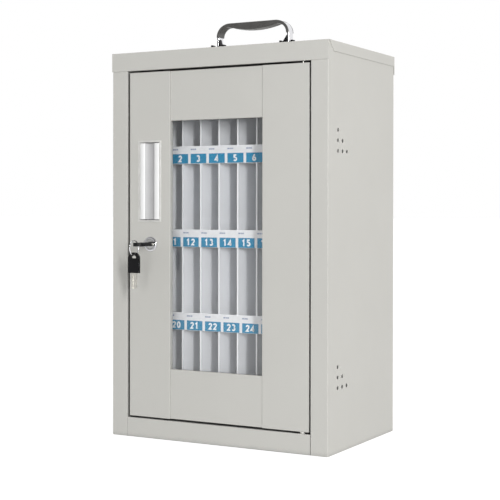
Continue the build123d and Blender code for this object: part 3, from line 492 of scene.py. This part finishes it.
# moulded plastics; their lighter edge colours are partly rubbed wear and partly painted highlight
bezelPlastic = {
    "color": (0.66, 0.655, 0.63, 1), "rubbedHighlight": (0.80, 0.80, 0.78, 1), "gloss": 0.36, "mirror": 0.5,
    "grain": 0.5 * mm,
}
blackMoulding = {
    "color": (0.006, 0.006, 0.007, 1), "rubbedHighlight": (0.03, 0.03, 0.03, 1), "gloss": 0.30, "mirror": 0.22,
    "grain": 0.5 * mm,
}
gripPlastic = {
    "color": (0.085, 0.083, 0.08, 1), "rubbedHighlight": (0.16, 0.157, 0.15, 1), "gloss": 0.33, "mirror": 0.5,
    "grain": 0.7 * mm,
}
darkNylon = {
    "color": (0.03, 0.03, 0.03, 1), "rubbedHighlight": (0.08, 0.08, 0.08, 1), "gloss": 0.5, "mirror": 0.5,
    "grain": 0.4 * mm,
}
mouldingWearAndHighlight = {
    # rub: strength of the lighter edges, partly wear and partly painted highlight
    "drift": 0.12, "driftSize": 0.012, "rub": 0.6, "edgeReach": 0.5 * mm, "dust": (0.3, 0.29, 0.27, 1),
    "dusting": 0.08, "wander": 0.08, "grainDepth": 0.02 * mm,
}


def makeMoulding(name, look, wear):
    material, tree, shader = startMaterial(name)
    shader.inputs["Specular IOR Level"].default_value = look["mirror"]
    drift = useGroup(tree, toneDrift, color=look["color"], strength=wear["drift"], size=wear["driftSize"])
    # lighter edges, partly rubbed wear and partly painted highlight
    rub = useGroup(tree, edgeWearAndHighlight, reach=wear["edgeReach"], strength=wear["rub"])
    edged = mixColors(tree, rub["Mask"], drift["Color"], look["rubbedHighlight"])
    dusty = useGroup(tree, settledDust, color=edged, dust=wear["dust"], amount=wear["dusting"])
    skin = useGroup(tree, mouldSkin, grainSize=look["grain"], gloss=look["gloss"], wander=wear["wander"])
    finishMaterial(tree, shader, dusty["Color"], skin["Roughness"], skin["Height"], wear["grainDepth"])
    return material


finishes = {
    "cabinet_paint": makeCabinetPaint(cabinetPaint),
    "rack_plastic": makeRackPlastic(rackPlastic),
    "label_film": makePrint("labelFilm", labelFilm, labelFilm["paper"]),
    "clear_pane": makeClearPane(clearPane),
    "zinc_steel": makeMetal("zincSteel", zincSteel, metalMarks),
    "lock_brass": makeMetal("lockNickel", lockNickel, metalMarks),
    "chrome_plate": makeMetal("chromePlate", chromePlate, metalMarks),
    "pull_trim": makeMoulding("bezelPlastic", bezelPlastic, mouldingWearAndHighlight),
    "black_plastic": makeMoulding("blackMoulding", blackMoulding, mouldingWearAndHighlight),
    "grip_plastic": makeMoulding("gripPlastic", gripPlastic, mouldingWearAndHighlight),
    "dark_nylon": makeMoulding("darkNylon", darkNylon, mouldingWearAndHighlight),
}
keyMetal = makeMetal("nickelKey", nickelKey, metalMarks)
insertFinish = makePullInsert(pullInsert)
labelBlue = makePrint("labelBlue", labelFilm, labelFilm["blue"])
labelInk = makePrint("labelInk", labelFilm, labelFilm["ink"])
labelGrey = makePrint("labelGrey", labelFilm, labelFilm["grey"])

for row in frame["record"]["subparts"]:
    mesh = nodes[row["node"]].data
    mesh.materials.clear()
    mesh.materials.append(finishes[row["material_slot"]])
for name in ("key_blade", "spare_key_blade"):
    nodes[name].data.materials[0] = keyMetal
nodes["pull_channel"].data.materials[0] = insertFinish
nodes["lower_pivot_bush"].data.materials[0] = finishes["zinc_steel"]
print("finishes:", len(bpy.data.materials))


def addPiece(name, mesh, material, body):
    mesh.materials.append(material)
    piece = bpy.data.objects.new(name, mesh)
    bpy.context.scene.collection.objects.link(piece)
    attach(piece, body)


# printing on the label strips: blue fields with white numbers, and a short grey mark above each
printing = {
    "columns": 9, "rows": 4, "pitch": 28 * mm, "film": 0.04 * mm,
    "shifts": (11.6 * mm, 0, 5.9 * mm, 2 * mm),  # each strip is stuck on a little to one side
    "fieldWidth": 24.0 * mm, "fieldHeight": 12.6 * mm, "fieldFoot": 0.3 * mm,
    "numberHeight": 8.4 * mm, "digitWidth": 7.2 * mm, "numberStroke": 0.25, "numberFilms": 1.5,
    "numberInset": 0.3,  # a cut field's number stays this share of the width from the strip's end
    "markRise": 17.9 * mm, "markHeight": 1.8 * mm, "markWidths": (3.0 * mm, 1.9 * mm, 2.4 * mm),
    "markGap": 0.5 * mm,
}


def addPlate(bm, x0, x1, z0, z1, yFront, depth):
    corners = [(x, y, z) for x in (x0, x1) for y in (yFront, yFront + depth) for z in (z0, z1)]
    verts = [bm.verts.new(c) for c in corners]
    for face in ((0, 1, 5, 4), (2, 6, 7, 3), (0, 2, 3, 1), (4, 5, 7, 6), (0, 4, 6, 2), (1, 3, 7, 5)):
        bm.faces.new([verts[i] for i in face])


# each digit is one or two strokes in a frame 1 high; arcs are given as middle, radii and two turns
digitFrame = {"start": 0.08, "width": 0.86, "arcStep": 15, "arcLeast": 6, "sharpest": 0.5}
digitStrokes = {
    "0": [("arc", 0.31, 0.5, 0.23, 0.42, 90, 450)],
    "1": [("line", (0.08, 0.74), (0.32, 0.92), (0.32, 0.0))],
    "2": [("arc", 0.31, 0.68, 0.22, 0.24, 170, -30), ("line", (0.50, 0.56), (0.10, 0.08), (0.56, 0.08))],
    "3": [("arc", 0.29, 0.70, 0.20, 0.22, 150, -90), ("arc", 0.29, 0.29, 0.23, 0.21, 90, -150)],
    "4": [("line", (0.44, 0.0), (0.44, 0.90), (0.06, 0.27), (0.62, 0.27))],
    "5": [("line", (0.52, 0.92), (0.14, 0.92), (0.11, 0.52)), ("arc", 0.29, 0.32, 0.24, 0.24, 130, -150)],
    "6": [("arc", 0.32, 0.30, 0.22, 0.22, 0, 360), ("arc", 0.52, 0.34, 0.42, 0.58, 180, 100)],
    "7": [("line", (0.06, 0.92), (0.56, 0.92), (0.24, 0.0))],
    "8": [("arc", 0.31, 0.71, 0.19, 0.21, 0, 360), ("arc", 0.31, 0.28, 0.23, 0.22, 0, 360)],
    "9": [("arc", 0.30, 0.70, 0.22, 0.22, 0, 360), ("arc", 0.10, 0.66, 0.42, 0.58, 0, -80)],
}


def strokePoints(stroke):
    if stroke[0] == "line":
        return [Vector(p) for p in stroke[1:]]
    _, x, z, wide, tall, start, end = stroke
    count = max(digitFrame["arcLeast"], int(abs(end - start) / digitFrame["arcStep"]))
    turns = [math.radians(start + (end - start) * i / count) for i in range(count + 1)]
    return [Vector((x + wide * math.cos(t), z + tall * math.sin(t))) for t in turns]


# a flat ribbon along the points, mitred at the bends
def addStroke(bm, points, width, place):
    rows = []
    for i, point in enumerate(points):
        before = (point - points[i - 1]).normalized() if i else (points[1] - point).normalized()
        after = (points[i + 1] - point).normalized() if i + 1 < len(points) else before
        along = (before + after).normalized()
        across = Vector((-along.y, along.x))
        turn = across.dot(Vector((-before.y, before.x)))
        half = 0.5 * width / max(digitFrame["sharpest"], turn)
        rows.append([bm.verts.new(place(point + across * side * half)) for side in (-1, 1)])
    for first, second in zip(rows, rows[1:]):
        bm.faces.new((first[0], first[1], second[1], second[0]))


def addNumber(bm, text, x, z, yFront, spec):
    tall, wide = spec["numberHeight"], spec["digitWidth"]
    left = x - len(text) * wide / 2
    for i, digit in enumerate(text):
        start = left + i * wide

        def place(point):
            across = (point.x + digitFrame["start"]) * wide / digitFrame["width"]
            return (start + across, yFront, z + point.y * tall)

        for stroke in digitStrokes[digit]:
            addStroke(bm, strokePoints(stroke), spec["numberStroke"], place)


def printLabels(spec):
    low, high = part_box("label_strips")
    film = spec["film"]
    front = low.y - film
    for row in range(spec["rows"]):
        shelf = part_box("rack_shelf_%d" % (row + 1))[0].z
        fields, numbers, marks = bmesh.new(), bmesh.new(), bmesh.new()
        foot = shelf + spec["fieldFoot"]
        rise = foot + (spec["fieldHeight"] - spec["numberHeight"]) / 2
        base = shelf + spec["markRise"]
        for column in range(spec["columns"]):
            middle = (column - (spec["columns"] - 1) / 2) * spec["pitch"] + spec["shifts"][row]
            left = max(middle - spec["fieldWidth"] / 2, low.x)
            right = min(middle + spec["fieldWidth"] / 2, high.x)
            addPlate(fields, left, right, foot, foot + spec["fieldHeight"], front, film)
            text = str(row * spec["columns"] + column + 1)
            middle = min(middle, high.x - spec["numberInset"] * spec["fieldWidth"])
            addNumber(numbers, text, middle, rise, low.y - spec["numberFilms"] * film, spec)
            start = left
            for width in spec["markWidths"]:
                addPlate(marks, start, start + width, base, base + spec["markHeight"], front, film)
                start += width + spec["markGap"]
        layers = (("fields", fields, labelBlue), ("numbers", numbers, labelInk), ("marks", marks, labelGrey))
        for kind, bm, material in layers:
            bmesh.ops.recalc_face_normals(bm, faces=bm.faces)
            mesh = bpy.data.meshes.new("label_%s_%d" % (kind, row + 1))
            bm.to_mesh(mesh)
            bm.free()
            addPiece(mesh.name, mesh, material, "cabinet")


printLabels(printing)
print("labels printed")


# floor, white out to the horizon, which keeps a pale shadow
floorLook = {
    "half": 30.0, "drop": 0.05 * mm, "color": (0.45, 0.45, 0.45, 1), "patches": 3.0, "dullest": 0.985,
    "roughness": 0.7, "mirror": 0.2, "glow": 0.76, "nearRoom": 4.0, "farRoom": 0.3, "dark": 0.25,
}


def makeFloor(look):
    material, tree, shader = startMaterial("floor")
    grain = noiseNode(tree, partPlace(tree), look["patches"], 3.0)
    tone = rangeNode(tree, grain, noiseLow, noiseHigh, look["dullest"], 1.0)
    tree.links.new(mixColors(tree, 1.0, look["color"], tone, "MULTIPLY"), shader.inputs["Base Color"])
    shader.inputs["Roughness"].default_value = look["roughness"]
    shader.inputs["Specular IOR Level"].default_value = look["mirror"]
    shader.inputs["Emission Color"].default_value = (1, 1, 1, 1)
    path = makeNode(tree, "ShaderNodeLightPath").outputs
    seen = mathNode(tree, "MAXIMUM", path["Is Camera Ray"], path["Is Transmission Ray"])
    along = makeNode(tree, "ShaderNodeSeparateXYZ", {"Vector": partPlace(tree)}).outputs["Y"]
    room = rangeNode(tree, along, -look["nearRoom"], -look["farRoom"], look["dark"], 1.0)
    mirrored = mathNode(tree, "MULTIPLY", path["Is Glossy Ray"], room)
    glow = mathNode(tree, "MULTIPLY", mathNode(tree, "MAXIMUM", seen, mirrored), look["glow"])
    tree.links.new(glow, shader.inputs["Emission Strength"])
    bm = bmesh.new()
    bmesh.ops.create_grid(bm, x_segments=2, y_segments=2, size=look["half"])
    mesh = bpy.data.meshes.new("floor")
    bm.to_mesh(mesh)
    bm.free()
    mesh.materials.append(material)
    floor = bpy.data.objects.new("floor", mesh)
    bpy.context.scene.collection.objects.link(floor)
    floor.location.z = cadLow.z - look["drop"]


makeFloor(floorLook)


# light: a white room that is dark behind the viewer, a tall narrow lamp to the front right,
# a broad weak one in front, and a warmer one on the right
lightLook = {
    "sky": 0.62, "roomFront": 0.06, "turnFrom": -0.85, "turnTo": 0.1, "target": (0, -0.1, 0.28),
    "key": {
        "azimuth": 45, "distance": 3.2, "rise": 0.56, "size": (0.28, 1.15), "power": 52, "color": (1, 1, 1),
    },
    "front": {
        "azimuth": 12, "distance": 3.2, "rise": 0.0, "size": (0.9, 1.15), "power": 18, "color": (1, 1, 1),
    },
    "side": {
        "azimuth": 98, "distance": 2.2, "rise": 0.6, "size": (0.5, 0.5), "power": 6, "color": (1, 0.96, 0.9),
    },
}


def makeLamp(name, look, target):
    lamp = bpy.data.lights.new(name, "AREA")
    lamp.shape = "RECTANGLE"
    lamp.size, lamp.size_y = look["size"]
    lamp.energy = look["power"]
    lamp.color = look["color"]
    holder = bpy.data.objects.new(name, lamp)
    bpy.context.scene.collection.objects.link(holder)
    azimuth, distance = math.radians(look["azimuth"]), look["distance"]
    offset = Vector((math.sin(azimuth) * distance, -math.cos(azimuth) * distance, look["rise"]))
    holder.location = Vector(target) + offset
    holder.rotation_mode = "QUATERNION"
    holder.rotation_quaternion = offset.to_track_quat("Z", "Y")
    holder.visible_camera = False


def makeSky(look):
    world = bpy.data.worlds.new("sky")
    bpy.context.scene.world = world
    world.use_nodes = True
    tree = world.node_tree
    path = makeNode(tree, "ShaderNodeLightPath").outputs
    seen = mathNode(tree, "MAXIMUM", path["Is Camera Ray"], path["Is Transmission Ray"])
    way = makeNode(tree, "ShaderNodeTexCoord").outputs["Generated"]
    along = makeNode(tree, "ShaderNodeSeparateXYZ", {"Vector": way}).outputs["Y"]
    room = rangeNode(tree, along, look["turnFrom"], look["turnTo"], look["roomFront"], 1.0)
    mirrored = rangeNode(tree, path["Is Glossy Ray"], 0.0, 1.0, look["sky"], room)
    strength = rangeNode(tree, seen, 0.0, 1.0, mirrored, 1.0)
    back = tree.nodes["Background"]
    back.inputs["Color"].default_value = (1, 1, 1, 1)
    tree.links.new(strength, back.inputs["Strength"])


makeSky(lightLook)
for name in ("key", "front", "side"):
    makeLamp(name, lightLook[name], lightLook["target"])
bpy.context.scene.view_settings.view_transform = "Standard"


cameraLook = {
    "place": (0.8080, -1.4783, 0.3046), "turn": 28.86, "dip": 0.449, "roll": 0.073,
    "lens": 89.67, "sensor": 36.0, "rise": -0.06536,
}


def makeCamera(look):
    camera = bpy.data.cameras.new("camera")
    camera.lens = look["lens"]
    camera.sensor_width = look["sensor"]
    camera.shift_y = look["rise"]
    holder = bpy.data.objects.new("camera", camera)
    bpy.context.scene.collection.objects.link(holder)
    holder.location = look["place"]
    turn, dip = math.radians(look["turn"]), math.radians(look["dip"])
    ahead = Vector((-math.sin(turn) * math.cos(dip), math.cos(turn) * math.cos(dip), -math.sin(dip)))
    holder.rotation_mode = "QUATERNION"
    level = ahead.to_track_quat("-Z", "Y")
    holder.rotation_quaternion = level @ Quaternion((0, 0, 1), math.radians(look["roll"]))
    bpy.context.scene.camera = holder


makeCamera(cameraLook)

print("scene done")
